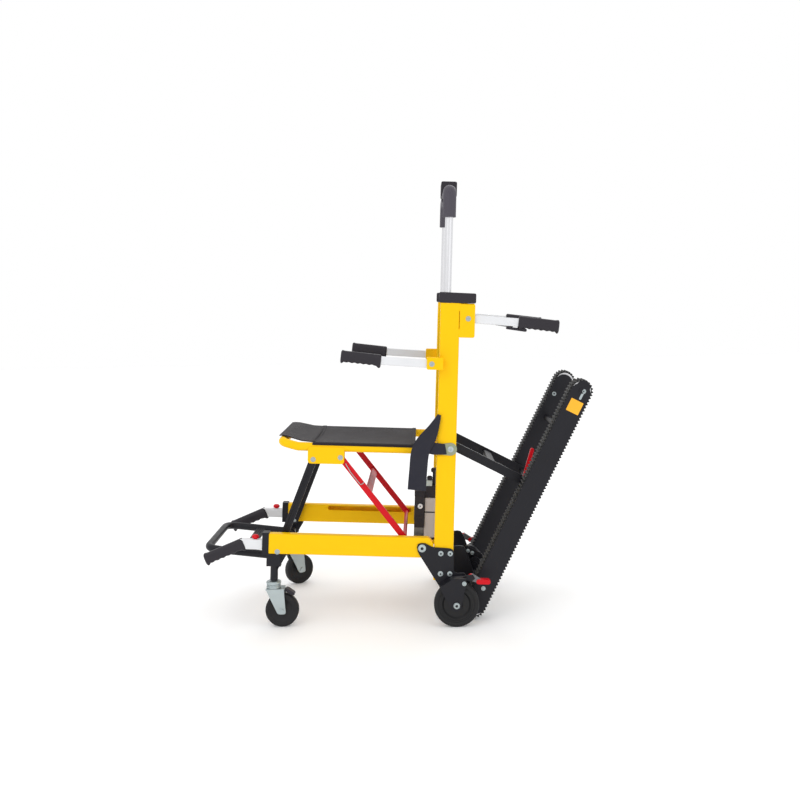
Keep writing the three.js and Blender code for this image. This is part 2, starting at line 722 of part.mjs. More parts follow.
function trackChassis(side) {
  const inner = across(side, TRACK_FACE_IN, TRACK_FACE_IN + 3);
  const outer = across(side, TRACK_FACE_OUT - 3, TRACK_FACE_OUT);
  const cover = bar(trackPoint(8), trackPoint(TRACK_LENGTH - 8), 31);
  const between = across(side, TRACK_FACE_IN + 1, TRACK_FACE_OUT - 1);
  const spacer = (a, b) => plate(bar(trackPoint(a), trackPoint(b), 12), between, 2);
  return cut(
    join(
      plate(cover, inner, 5),
      plate(cover, outer, 5),
      spacer(150, 190),
      spacer(350, 390),
      spacer(560, 600),
      rodY(TRACK_HEAD, 6, between),
      rodY(TRACK_HEAD, 8, across(side, TRACK_FACE_OUT - 1, TRACK_FACE_OUT + 3), 12),
    ),
    rodY(TRACK_FOOT, 8.8, [-230, 230]),
  );
}

function belt(side) {
  const y = across(side, BELT.inner, BELT.outer);
  const inside = BELT.r - BELT.thick;
  return cut(
    plate(bar(TRACK_FOOT, TRACK_HEAD, BELT.r), y, 8),
    plate(bar(TRACK_FOOT, TRACK_HEAD, inside), [y[0] - 1, y[1] + 1], 8),
  );
}

function driveShaft() {
  const drum = BELT.r - BELT.thick - 0.4;
  return join(
    rodY(TRACK_FOOT, 8, [-TRACK_FACE_OUT - 1, TRACK_FACE_OUT + 1]),
    rodY(TRACK_FOOT, drum, [-BELT.outer, -BELT.inner], 20),
    rodY(TRACK_FOOT, drum, [BELT.inner, BELT.outer], 20),
  );
}

function linkFrame() {
  const end = [
    SEAT_PIVOT[0] + LINK.length * Math.cos(TRACK_LEAN),
    SEAT_PIVOT[1] - LINK.length * Math.sin(TRACK_LEAN),
  ];
  const part = (t) => SEAT_PIVOT.map((v, i) => v + t * (end[i] - v));
  const bars = [-LINK.y - LINK.thick / 2, LINK.y - LINK.thick / 2].map((y) =>
    plate(bar(part(0.03), part(0.97), LINK.half), [y, y + LINK.thick], 6));
  return cut(
    join(
      ...bars,
      rodY(SEAT_PIVOT, 14, [-LINK.y - 9, LINK.y + 9], 14),
      rodY(end, 8, [-137, 137]),
      plate(bar(part(0.5), part(0.56), 7), [-LINK.y, LINK.y], 3),
    ),
    rodY(SEAT_PIVOT, 8.6, [-140, 140]),
  );
}

function buildTracks() {
  for (const [name, side] of SIDES) {
    add(`track_chassis_${name}`, trackChassis(side), "black");
    add(`track_belt_${name}`, belt(side), "rubber");
    const drum = BELT.r - BELT.thick - 0.4;
    const idler = cut(
      rodY(TRACK_HEAD, drum, across(side, BELT.inner, BELT.outer), 20),
      rodY(TRACK_HEAD, 6.6, [-230, 230], 12),
    );
    add(`idler_pulley_${name}`, idler, "silver");
  }
  add("drive_shaft", driveShaft(), "silver");
  const rod = (at, r) => rodY(at, r, [-TRACK_FACE_IN + GAP, TRACK_FACE_IN - GAP]);
  add("track_cross_tube", rod(trackPoint(590), 9), "black");
  add("link_frame", linkFrame(), "black");
  const lever = bar(trackPoint(404, -14), trackPoint(487, -30), 6.5, 6);
  add("release_lever", plate(lever, [-66, -54], 5), "red");
}

buildBackFrame();
buildRails();
add("footrest", footrest(), "black");
buildLowHandles();
buildCasters();
buildRearWheels();
buildSeat();
buildPostHandles();
buildTopHandle();
buildTracks();

// The part's origin is on the floor under the middle of its own box.
const stairChair = new THREE.Group();
stairChair.add(chair);
stairChair.updateMatrixWorld(true);
const extent = new THREE.Box3().setFromObject(stairChair, true);
const middle = extent.getCenter(new THREE.Vector3());
chair.position.set(-middle.x, -middle.y, FLOOR_DROP);

export default stairChair;
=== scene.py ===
"""Powered tracked stair chair: its looks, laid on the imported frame.

Every piece is drawn in the chair's own frame, in millimetres: X to the rear, Y to the
occupant's right, Z along the posts, with the origin on the pivot of the lower rails.
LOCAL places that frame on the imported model.
"""

import json
import math

import bmesh
import bpy
from mathutils import Matrix, Vector


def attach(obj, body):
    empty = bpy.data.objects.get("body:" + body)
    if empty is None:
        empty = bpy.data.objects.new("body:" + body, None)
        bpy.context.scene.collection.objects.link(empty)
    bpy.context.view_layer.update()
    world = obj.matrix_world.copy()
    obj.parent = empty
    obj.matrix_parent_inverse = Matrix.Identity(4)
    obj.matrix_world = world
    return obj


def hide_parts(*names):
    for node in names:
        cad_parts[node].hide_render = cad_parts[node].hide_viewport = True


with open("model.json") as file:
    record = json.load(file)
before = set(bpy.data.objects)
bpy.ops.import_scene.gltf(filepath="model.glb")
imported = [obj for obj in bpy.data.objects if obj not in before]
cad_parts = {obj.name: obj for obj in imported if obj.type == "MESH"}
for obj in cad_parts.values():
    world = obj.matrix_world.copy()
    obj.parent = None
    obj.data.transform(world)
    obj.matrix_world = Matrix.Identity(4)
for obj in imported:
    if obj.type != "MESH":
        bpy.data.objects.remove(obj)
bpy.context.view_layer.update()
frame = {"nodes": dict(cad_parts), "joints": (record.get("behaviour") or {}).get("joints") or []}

# ---- the chair's own frame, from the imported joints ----
RECLINE = math.radians(2.74)
MM = 0.001
JOINTS = {joint["name"]: joint for joint in frame["joints"]}
ORIGIN = Vector(JOINTS["rails_fold"]["pos_m"])
LOCAL = Matrix.Translation(ORIGIN) @ Matrix.Rotation(RECLINE, 4, "Y") @ Matrix.Scale(MM, 4)
TO_LOCAL = LOCAL.inverted()


def pivot(joint):
    """A joint's place as (x, z) in the chair's own frame."""
    at = TO_LOCAL @ Vector(JOINTS[joint]["pos_m"])
    return (at.x, at.z)


# ---- driving dimensions ----
SIDES = (("left", -1), ("right", 1))
SIDE_IN, SIDE_MID, SIDE_OUT = 205, 220, 235
POST = {"front": 36, "back": 94, "bottom": -95, "top": 734.5}
REAR_BOX = {"back": 140, "bottom": 632}
RAIL = {"front": -459, "half": 30, "heel": 35}
SLOT = {"front": -322, "back": -37, "low": 12, "high": 26}
SEAT_PIVOT = pivot("seat_fold")
SEAT_TUBE = {"y": 187, "r": 13, "z": 287, "front": -433, "front_z": 299}
STRUT_FOOT = pivot("strut_left_fold")
STRUT_HEAD = (-336.2, 250.5)
BRACE_HEAD = pivot("brace_fold")
CHANNEL = {"front": -353, "back": -242, "bottom": 238}
HANDLE = {"x": 55, "bottom": 480, "bar": 1073, "bend": 45, "r": 12, "foam": 20, "foam_from": 992}
MID_PIVOT = pivot("mid_handle_left_fold")
REAR_PIVOT = pivot("rear_handle_left_fold")
LOW_TUBE = {"front": -547, "back": -330, "low": -19.5, "high": 10.5}
FOOT_HINGE = pivot("footrest_fold")
FOOTREST = {"y": 160, "r": 11.5, "front": -658, "front_z": -37, "bend": 42}
AXLE = pivot("rear_wheel_left_spin")
WHEEL = {"r": 67, "half": 14}
CASTER = {"r": 50, "half": 15}
TRACK_FOOT = pivot("track_fold")
TRACK_LENGTH = 725
TRACK_LEAN = math.radians(24.94)
BELT = {"inner": 145, "outer": 205, "r": 36, "thick": 6.5, "pitch": 10.5, "tooth": 4.6}


# ---- materials ----
def material(name, colour, rough, metal=0.0, grain=700, bump=0.15, mottle=0.05,
             stretch=(1, 1, 1), weave=None, coat=0.0, sheen=0.0, specular=0.5):
    """A procedural surface: colour mottle, uneven roughness, and grain or weave as bump."""
    made = bpy.data.materials.new(name)
    made.use_nodes = True
    nodes, links = made.node_tree.nodes, made.node_tree.links
    shader = nodes["Principled BSDF"]
    shader.inputs["Metallic"].default_value = metal
    shader.inputs["Coat Weight"].default_value = coat
    shader.inputs["Coat Roughness"].default_value = 0.12
    shader.inputs["Sheen Weight"].default_value = sheen
    shader.inputs["Specular IOR Level"].default_value = specular
    place = nodes.new("ShaderNodeTexCoord")
    scale = nodes.new("ShaderNodeMapping")
    scale.inputs["Scale"].default_value = stretch
    links.new(place.outputs["Object"], scale.inputs["Vector"])
    fine = nodes.new("ShaderNodeTexNoise")
    fine.inputs["Scale"].default_value = grain
    fine.inputs["Detail"].default_value = 3
    links.new(scale.outputs["Vector"], fine.inputs["Vector"])
    broad = nodes.new("ShaderNodeTexNoise")
    broad.inputs["Scale"].default_value = 22
    broad.inputs["Detail"].default_value = 5
    links.new(place.outputs["Object"], broad.inputs["Vector"])
    tint = nodes.new("ShaderNodeMix")
    tint.data_type = "RGBA"
    tint.inputs[6].default_value = (*[c * (1 - mottle) for c in colour], 1)
    tint.inputs[7].default_value = (*[min(c * (1 + mottle), 1) for c in colour], 1)
    links.new(broad.outputs["Fac"], tint.inputs[0])
    gloss = nodes.new("ShaderNodeMapRange")
    gloss.inputs["From Min"].default_value = 0.3
    gloss.inputs["From Max"].default_value = 0.7
    gloss.inputs["To Min"].default_value = max(rough - 0.05, 0.03)
    gloss.inputs["To Max"].default_value = min(rough + 0.07, 1)
    links.new(broad.outputs["Fac"], gloss.inputs["Value"])
    links.new(gloss.outputs["Result"], shader.inputs["Roughness"])
    relief = nodes.new("ShaderNodeBump")
    relief.inputs["Strength"].default_value = bump
    relief.inputs["Distance"].default_value = 0.0005
    height, colour_out = fine.outputs["Fac"], tint.outputs[2]
    if weave:
        height, colour_out = threads(nodes, links, place, weave, colour_out)
    links.new(colour_out, shader.inputs["Base Color"])
    links.new(height, relief.inputs["Height"])
    links.new(relief.outputs["Normal"], shader.inputs["Normal"])
    return made


def threads(nodes, links, place, weave, colour):
    """Warp and weft as two crossed sine bands, each along one of the given axes."""
    axes, count = weave
    bands = []
    for axis in axes:
        wave = nodes.new("ShaderNodeTexWave")
        wave.bands_direction = axis
        wave.inputs["Scale"].default_value = count
        wave.inputs["Distortion"].default_value = 0.4
        links.new(place.outputs["Object"], wave.inputs["Vector"])
        bands.append(wave.outputs["Fac"])
    cross = nodes.new("ShaderNodeMath")
    cross.operation = "MULTIPLY"
    links.new(bands[0], cross.inputs[0])
    links.new(bands[1], cross.inputs[1])
    darker = nodes.new("ShaderNodeMix")
    darker.data_type = "RGBA"
    darker.blend_type = "MULTIPLY"
    darker.inputs[0].default_value = 0.35
    links.new(colour, darker.inputs[6])
    links.new(cross.outputs["Value"], darker.inputs[7])
    return cross.outputs["Value"], darker.outputs[2]


YELLOW = material("yellow_powder_coat", (0.93, 0.545, 0.0), 0.4, bump=0.08, mottle=0.02,
                  specular=0.15)
BLACK = material("black_satin_coat", (0.008, 0.008, 0.012), 0.42, bump=0.12, mottle=0.25, specular=0.28)
PLASTIC = material("black_moulded_plastic", (0.018, 0.015, 0.021), 0.5, grain=1500, bump=0.25, mottle=0.2,
                   specular=0.35)
SILVER = material("anodised_aluminium", (0.7, 0.7, 0.72), 0.34, metal=0.85, stretch=(1, 1, 0.05), bump=0.05)
BAR = material("white_anodised_bar", (0.74, 0.75, 0.77), 0.4, metal=0.25, bump=0.05, mottle=0.03)
ZINC = material("zinc_plate", (0.44, 0.5, 0.51), 0.36, metal=0.9, grain=260, bump=0.12, mottle=0.14)
OLIVE_ZINC = material("olive_zinc_plate", (0.3, 0.33, 0.23), 0.38, metal=0.8, grain=260, bump=0.12,
                      mottle=0.12)
BATTERY = material("warm_grey_housing", (0.5, 0.46, 0.45), 0.4, bump=0.1, mottle=0.04)
LEVER = material("grey_moulded_lever", (0.16, 0.16, 0.17), 0.45, bump=0.12)
RED = material("red_plastic", (0.6, 0.004, 0.012), 0.36, bump=0.06, specular=0.2)
FABRIC = material("seat_cloth", (0.019, 0.014, 0.019), 0.86, weave=("XY", 520), bump=0.5, sheen=0.12,
                  mottle=0.2, specular=0.25)
BACK_CLOTH = material("back_cloth", (0.019, 0.014, 0.019), 0.86, weave=("YZ", 520), bump=0.5, sheen=0.12,
                      mottle=0.2, specular=0.25)
WEBBING = material("belt_webbing", (0.012, 0.012, 0.026), 0.6, weave=("XZ", 330), bump=0.5, sheen=0.15,
                   specular=0.35)
FOAM = material("foam_grip", (0.05, 0.044, 0.06), 0.55, grain=900, bump=0.35, mottle=0.12)
RUBBER = material("black_rubber", (0.009, 0.009, 0.01), 0.62, grain=1100, bump=0.3, mottle=0.25,
                  specular=0.35)
HUB = material("wheel_hub_plastic", (0.007, 0.007, 0.008), 0.45, grain=1300, bump=0.15, mottle=0.15,
               specular=0.35)
PATCH = material("plain_amber_patch", (0.95, 0.45, 0.01), 0.4, bump=0.03)


# ---- shapes, in millimetres ----
def fillet(points, radius, closed=False, turns=6):
    """A path or outline with its corners rounded."""
    corners = [Vector(point) for point in points]
    rounded = []
    for i, corner in enumerate(corners):
        if not closed and i in (0, len(corners) - 1):
            rounded.append(corner)
            continue
        before = corners[i - 1] - corner
        after = corners[(i + 1) % len(corners)] - corner
        reach = radius / math.tan(before.angle(after) / 2)
        reach = min(reach, before.length * 0.48, after.length * 0.48)
        enter = corner + before.normalized() * reach
        leave = corner + after.normalized() * reach
        for k in range(turns + 1):
            t = k / turns
            rounded.append(enter * (1 - t) ** 2 + corner * 2 * t * (1 - t) + leave * t ** 2)
    return rounded


def loft(rings, closed=False):
    """A skin over rings of points, with its ends capped unless it closes on itself."""
    made = bmesh.new()
    rows = [[made.verts.new(point) for point in ring] for ring in rings]
    count = len(rows[0])
    pairs = list(zip(rows, rows[1:])) + ([(rows[-1], rows[0])] if closed else [])
    for near, far in pairs:
        for k in range(count):
            made.faces.new((near[k], near[(k + 1) % count], far[(k + 1) % count], far[k]))
    if not closed:
        made.faces.new(rows[0])
        made.faces.new(rows[-1])
    bmesh.ops.recalc_face_normals(made, faces=made.faces)
    return made


def sheet_of(rows):
    """An open skin over rows of points."""
    made = bmesh.new()
    grid = [[made.verts.new(point) for point in row] for row in rows]
    for near, far in zip(grid, grid[1:]):
        for k in range(len(near) - 1):
            made.faces.new((near[k], near[k + 1], far[k + 1], far[k]))
    bmesh.ops.recalc_face_normals(made, faces=made.faces)
    return made


def merge(*shapes):
    """Several shapes as one bmesh."""
    whole = bmesh.new()
    for shape in shapes:
        mesh = bpy.data.meshes.new("part")
        shape.to_mesh(mesh)
        shape.free()
        whole.from_mesh(mesh)
        bpy.data.meshes.remove(mesh)
    return whole


def circle(r, sides=32):
    turn = 2 * math.pi / sides
    return [(r * math.cos(k * turn), r * math.sin(k * turn)) for k in range(sides)]


def round_rect(width, height, r):
    corners = [(-width / 2, -height / 2, 0), (width / 2, -height / 2, 0),
               (width / 2, height / 2, 0), (-width / 2, height / 2, 0)]
    return [(p.x, p.y) for p in fillet(corners, r, closed=True, turns=5)]


def sweep(path, section, across):
    """A section carried along a path. across is a direction that the path never runs along."""
    points = [Vector(point) for point in path]
    rings = []
    for i, point in enumerate(points):
        ahead = points[min(i + 1, len(points) - 1)] - points[max(i - 1, 0)]
        ahead.normalize()
        side = Vector(across).cross(ahead).normalized()
        up = ahead.cross(side)
        rings.append([point + side * a + up * b for a, b in section])
    return loft(rings)


def plate(outline, y, radius=0, turns=4):
    """A flat outline of (x, z) points, given thickness between two Y values."""
    corners = [(x, 0, z) for x, z in outline]
    if radius:
        corners = fillet(corners, radius, closed=True, turns=turns)
    return loft([[(p[0], level, p[2]) for p in corners] for level in y])


def block(x, y, z):
    return plate([(x[0], z[0]), (x[1], z[0]), (x[1], z[1]), (x[0], z[1])], y)


def bar_outline(start, end, r_start, r_end=None, steps=10):
    """The outline of a bar with round ends."""
    r_end = r_end or r_start
    angle = math.atan2(end[1] - start[1], end[0] - start[0])
    points = []
    for centre, r, first in ((start, r_start, angle + math.pi / 2), (end, r_end, angle - math.pi / 2)):
        for k in range(steps + 1):
            turn = first + math.pi * k / steps
            points.append((centre[0] + r * math.cos(turn), centre[1] + r * math.sin(turn)))
    return points


def turned_y(profile, centre, sides=48):
    """A round piece about the Y axis, from (radius, y) pairs that close on themselves."""
    rings = []
    for k in range(sides):
        turn = 2 * math.pi * k / sides
        across, up = math.cos(turn), math.sin(turn)
        rings.append([(centre[0] + r * across, y, centre[1] + r * up) for r, y in profile])
    return loft(rings, closed=True)


def rod(centre, r, y, sides=28):
    return loft([[(centre[0] + a, level, centre[1] + b) for a, b in circle(r, sides)] for level in y])


def on_side(side, low, high):
    return (low, high) if side > 0 else (-high, -low)


def between(a, b, t):
    return tuple(p + t * (q - p) for p, q in zip(a, b))


# ---- pieces ----
def piece(name, shape, finish, body, replaces=(), bevel=0.0, angle=38, place=LOCAL, segments=3):
    """Adds a shape to the scene on a body, with softened edges where bevel is given."""
    mesh = bpy.data.meshes.new(name)
    shape.to_mesh(mesh)
    shape.free()
    mesh.transform(place)
    made = bpy.data.objects.new(name, mesh)
    bpy.context.scene.collection.objects.link(made)
    mesh.materials.append(finish)
    mesh.shade_smooth()
    mesh.set_sharp_from_angle(angle=math.radians(angle))
    if bevel:
        edge = made.modifiers.new("edge", "BEVEL")
        edge.width = bevel * MM
        edge.segments = segments
        edge.limit_method = "ANGLE"
        edge.angle_limit = math.radians(angle - 4)
        edge.harden_normals = True
    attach(made, body)
    if replaces:
        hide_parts(*replaces)
    return made


def refined(node, finish, body, bevel, angle=38):
    """A CAD node's own shape with softened edges."""
    shape = bmesh.new()
    shape.from_mesh(frame["nodes"][node].data)
    bmesh.ops.remove_doubles(shape, verts=shape.verts, dist=1e-6)
    bmesh.ops.dissolve_limit(
        shape, angle_limit=math.radians(0.6), verts=shape.verts, edges=shape.edges)
    return piece(node + "_shell", shape, finish, body, (node,), bevel, angle, Matrix.Identity(4), 2)


def carve(target, cutter, place=LOCAL):
    """Cuts a pocket into a piece, and leaves nothing of the cutter behind."""
    mesh = bpy.data.meshes.new("cutter")
    cutter.to_mesh(mesh)
    cutter.free()
    mesh.transform(place)
    tool = bpy.data.objects.new("cutter", mesh)
    bpy.context.scene.collection.objects.link(tool)
    edges = [m for m in target.modifiers]
    widths = [m.width for m in edges]
    for m in edges:
        target.modifiers.remove(m)
    cut = target.modifiers.new("cut", "BOOLEAN")
    cut.object = tool
    cut.solver = "EXACT"
    bpy.context.view_layer.update()
    result = bpy.data.meshes.new_from_object(target.evaluated_get(bpy.context.evaluated_depsgraph_get()))
    target.modifiers.clear()
    target.data = result
    bpy.data.objects.remove(tool)
    result.shade_smooth()
    result.set_sharp_from_angle(angle=math.radians(38))
    for width in widths:
        edge = target.modifiers.new("edge", "BEVEL")
        edge.width = width
        edge.segments = 3
        edge.limit_method = "ANGLE"
        edge.angle_limit = math.radians(34)
        edge.harden_normals = True


def bolt(name, at, face, side, body, r=7, height=4.5, finish=ZINC, recess=0.5):
    """A domed bolt head with a hexagon socket, standing on a face at y = face on one side."""
    outline = [(r + 1.6, 0), (r + 1.6, 0.9), (r, 1.0), (r, height - 1.4), (r * 0.82, height - 0.2),
               (r * recess + 0.6, height)]
    rings = []
    for radius, rise in outline:
        rings.append([(at[0] + a, side * (face + rise), at[1] + b) for a, b in circle(radius, 30)])
    hexagon = []
    for k in range(30):
        turn = 2 * math.pi * k / 30
        reach = r * recess * math.cos(math.pi / 6) / math.cos((turn % (math.pi / 3)) - math.pi / 6)
        hexagon.append((at[0] + reach * math.cos(turn), at[1] + reach * math.sin(turn)))
    for depth in (0, -height * 0.6):
        rings.append([(x, side * (face + height + depth), z) for x, z in hexagon])
    return piece(name, loft(rings), finish, body)


def grip(name, start, end, y, half, width, body, finish=None):
    """A moulded handle grip: a deep guard at the bar's end, finger ridges under it and a squared butt."""
    start, end = Vector((start[0], y, start[1])), Vector((end[0], y, end[1]))
    ahead = (end - start).normalized()
    up = Vector((0, 1, 0)).cross(ahead)
    if up.z < 0:
        up.negate()
    count, around = 90, 40
    corner = 4 / (end - start).length
    rings = []
    for i in range(count + 1):
        t = i / count
        edge = min(t, 1 - t)
        closing = 1 - 0.22 * (1 - min(edge / corner, 1)) ** 2
        guard = math.exp(-(t / 0.1) ** 4)
        butt = math.exp(-((1 - t) / 0.07) ** 4)
        ridges = 0.05 * math.cos(2 * math.pi * 7 * t) * (1 - guard) * (1 - butt)
        high = half * (0.93 + 0.07 * butt) * closing
        low = half * (0.76 + ridges + 0.36 * guard + 0.24 * butt) * closing
        wide = width * (0.9 + 0.1 * guard) * closing
        ring = []
        for k in range(around):
            turn = 2 * math.pi * k / around
            c, s = math.cos(turn), math.sin(turn)
            a = math.copysign(abs(c) ** 0.7, c) * wide
            b = math.copysign(abs(s) ** 0.7, s) * (high if s > 0 else low)
            ring.append(start.lerp(end, t) + Vector((0, a, 0)) + up * b)
        rings.append(ring)
    return piece(name, loft(rings), finish or PLASTIC, body, angle=60)


# ---- back frame ----
def build_posts(name, side):
    y = on_side(side, SIDE_IN, SIDE_OUT)
    width = POST["back"] - POST["front"]
    middle = (POST["front"] + POST["back"]) / 2
    section = round_rect(width, SIDE_OUT - SIDE_IN, 5)
    tube = loft([[(middle + a, side * SIDE_MID + b, z) for a, b in section]
                 for z in (POST["bottom"], POST["top"])])
    slit = on_side(side, SIDE_OUT - 8, SIDE_OUT + 2)
    column = piece(f"post_{name}_tube", tube, YELLOW, "back_frame", (f"post_{name}",), 0.8)
    carve(column, block((92.2, 95.5), slit, (657, 711)))
    cheek = [(POST["back"] - 3, REAR_BOX["bottom"]), (REAR_BOX["back"], REAR_BOX["bottom"]),
             (REAR_BOX["back"], POST["top"]), (POST["back"] - 3, POST["top"])]
    cheeks = merge(
        plate(cheek, on_side(side, SIDE_OUT - 3, SIDE_OUT), 7),
        plate(cheek, on_side(side, SIDE_IN, SIDE_IN + 3), 7),
        block((POST["back"] - 2, REAR_BOX["back"] - 3), y, (POST["top"] - 3, POST["top"])),
    )
    box = piece(f"post_{name}_rear_box", cheeks, YELLOW, "back_frame", (), 0.9)
    carve(box, block((90, 94.2), slit, (657, 711)))
    z = (535.5, 572)
    bracket = merge(
        plate([(-1, z[0]), (48, z[0]), (48, z[1]), (-1, z[1])], on_side(side, SIDE_OUT, SIDE_OUT + 4), 5),
        plate([(-1, z[0]), (48, z[0]), (48, z[1]), (-1, z[1])], on_side(side, 259.5, 263), 5),
        block((44, 48), on_side(side, SIDE_OUT + 1, 262), (z[0] + 2, z[1] - 2)),
    )
    piece(f"post_{name}_mid_bracket", bracket, YELLOW, "back_frame", (), 0.8)
    bolt(f"rear_handle_bolt_{name}", REAR_PIVOT, SIDE_OUT, side, "back_frame", 6.5, 3.6)
    bolt(f"mid_handle_bolt_{name}", MID_PIVOT, 263, side, "back_frame", 6.5, 3.6)
    refined(f"post_cap_{name}", PLASTIC, "back_frame", 1.6)


def build_yokes(name, side):
    refined(f"wheel_yoke_{name}", BLACK, "back_frame", 1.0)
    heads = [(56.5, -14), (84.5, -13.5), (56.8, -74.3), (85, -73.8)]
    for i, at in enumerate(heads):
        bolt(f"gusset_bolt_{name}_{i}", at, 239.3, side, "back_frame", 6.2, 3.6)
    bolt(f"rail_pivot_bolt_{name}", (0, 0), 239.3, side, "back_frame", 10, 4.5)
    bolt(f"axle_nut_{name}", AXLE, 277, side, "back_frame", 9.5, 6.5)
    bolt(f"yoke_bolt_{name}", (127, -91), 279, side, "back_frame", 5, 3)


def cloth(name, rows, finish, body, replaces=(), thick=1.4):
    made = piece(name, sheet_of(rows), finish, body, replaces, angle=80)
    skin = made.modifiers.new("thickness", "SOLIDIFY")
    skin.thickness = thick * MM
    skin.offset = 0
    return made


def build_back_sling():
    """A cloth held by two cross bars, dished a little between them."""
    wide, low, high = 180, 356, 710
    rows = []
    for i in range(41):
        z = low + (high - low) * i / 40
        span = math.sin(math.pi * i / 40)
        row = []
        for k in range(49):
            y = -wide * (1 - 0.035 * span) + 2 * wide * (1 - 0.035 * span) * k / 48
            dish = 2.2 * span * (1 - (y / wide) ** 2)
            crease = 0.5 * math.sin(y / 23 + z / 31) * span
            row.append((79.2 + dish + crease, y, z))
        rows.append(row)
    cloth("backrest_cloth", rows, BACK_CLOTH, "back_frame",
          ("backrest_sling",))
    for edge, z in (("low", low + 8), ("top", high - 8)):
        hem = sweep([(77.4, -wide + 3, z), (77.4, wide - 3, z)], round_rect(16, 1.4, 0.6), (1, 0, 0))
        piece(f"backrest_{edge}_hem", hem, BACK_CLOTH, "back_frame")


def ribbon(name, stations, finish, replaces=(), steps=14):
    """A webbing strap that turns as it goes: stations are its two edges, as pairs of points."""
    rows = []
    last = len(stations) - 1
    for i in range(last):
        before, after = stations[max(i - 1, 0)], stations[min(i + 2, last)]
        for j in range(steps + (i == last - 1)):
            t = j / steps
            edges = []
            for side in (0, 1):
                p0, p1, p2, p3 = (Vector(p[side]) for p in (before, stations[i], stations[i + 1], after))
                edges.append(0.5 * (2 * p1 + (p2 - p0) * t + (2 * p0 - 5 * p1 + 4 * p2 - p3) * t ** 2
                                    + (3 * p1 - p0 - 3 * p2 + p3) * t ** 3))
            rows.append([edges[0].lerp(edges[1], k / 10) for k in range(11)])
    cloth(name, rows, finish, "back_frame",
          replaces, 1.8)


def build_lap_belts():
    for name, side in SIDES:
        tab = bar_outline((54, 297), SEAT_PIVOT, 16.5, 19, 16)
        anchor = plate(tab, on_side(side, SIDE_OUT + 0.3, SIDE_OUT + 3.4))
        piece(f"belt_anchor_{name}", anchor, OLIVE_ZINC, "back_frame", (), 0.8)
        bolt(f"seat_pivot_bolt_{name}", SEAT_PIVOT, SIDE_OUT + 3.4, side, "back_frame", 7.5, 5)
    tab = [((66, -240.6, 283), (60, -240.6, 313)), ((44, -241.4, 281), (38, -241.4, 316)),
           ((20, -242, 282), (14, -242, 318)), ((2, -242.6, 290), (-2, -242.6, 322))]
    ribbon("lap_belt_left_tab", tab, WEBBING, ("lap_belt_left",))
    fall = [((36, -240.4, 402), (46, -243.6, 399)), ((12, -241, 369), (41, -245, 361)),
            ((-22, -243.6, 330), (31, -246, 322)), ((-40, -245, 292), (14, -246.4, 286)),
            ((-45, -245.4, 230), (9, -246.2, 228)), ((-48, -245.4, 176), (7, -246, 172))]
    ribbon("lap_belt_left_fall", fall, WEBBING)
    right = [((88, 240, 296), (40, 240, 296)), ((89, 240.6, 240), (40, 240.6, 240)),
             ((91, 240, 180), (41, 240, 180)), ((92, 240, 122), (42, 240, 122))]
    ribbon("lap_belt_right_fall", right, WEBBING, ("lap_belt_right",))


def build_power_unit():
    refined("battery_pack", BATTERY, "back_frame", 2.0)
    refined("control_module", PLASTIC, "back_frame", 2.0)
    refined("drive_unit", BLACK, "back_frame", 1.4)
    refined("lower_cross_member", BLACK, "back_frame", 1.0)
    refined("backrest_top_bar", BLACK, "back_frame", 1.6)
    refined("backrest_low_bar", BLACK, "back_frame", 1.6)
    refined("pivot_axle", SILVER, "back_frame", 0.6)
    band = block((5.4, 70.6), (-68.6, 68.6), (70, 74))
    piece("battery_seam", band, PLASTIC, "back_frame", (), 0.4)
    dock = block((4, 68), (-64, 64), (116.4, 153.6))
    piece("battery_dock_cover", dock, PLASTIC, "back_frame", (), 2.5)
    for i, z in enumerate((48, 60, 124, 132)):
        rib = block((-26.8, 4), (-77, 77), (z, z + 2.4))
        piece(f"module_rib_{i}", rib, PLASTIC, "back_frame", (), 0.5)
    for i, at in enumerate(((146, -46), (160, -52))):
        bolt(f"drive_screw_{i}", at, 70, -1, "back_frame", 4.5, 3)
    socket = turned_y([(2.4, -77), (4.6, -77), (4.6, -80), (7.6, -80), (8.4, -78.6), (8.4, -75), (2.4, -75)],
                      (-8, 92))
    piece("module_socket", socket, SILVER, "back_frame")
    for i, (x, y, top, r) in enumerate(((34, -44, 208, 10), (20, -52, 184, 8))):
        stem = turned_z([(0.2, 150), (5, 150), (5, top - 14), (r, top - 12), (r + 1, top - 5), (r - 2, top),
                         (0.2, top)], (x, y))
        piece(f"dock_knob_{i}", stem, PLASTIC, "back_frame")
    plug = plate([(6, 152), (28, 152), (28, 171), (6, 171)], (-62, -40), 3)
    piece("dock_connector", plug, ZINC, "back_frame", (), 1.0)
    case = [(150, -30), (168, -38), (190, -60), (188, -92), (160, -108), (138, -104), (128, -84), (132, -50)]
    piece("gear_case", plate(case, (-57.5, -30), 14), BLACK, "back_frame", (), 2.5)
    for i in range(6):
        y = -24 + 14 * i
        fin = turned_y([(18, y), (22, y), (22, y + 3), (18, y + 3)], (168, -84), 40)
        piece(f"motor_fin_{i}", fin, BLACK, "back_frame")
    for i, at in enumerate(((146, -86), (170, -98), (176, -62))):
        bolt(f"gear_case_screw_{i}", at, 57.5, -1, "back_frame", 4, 2.6)


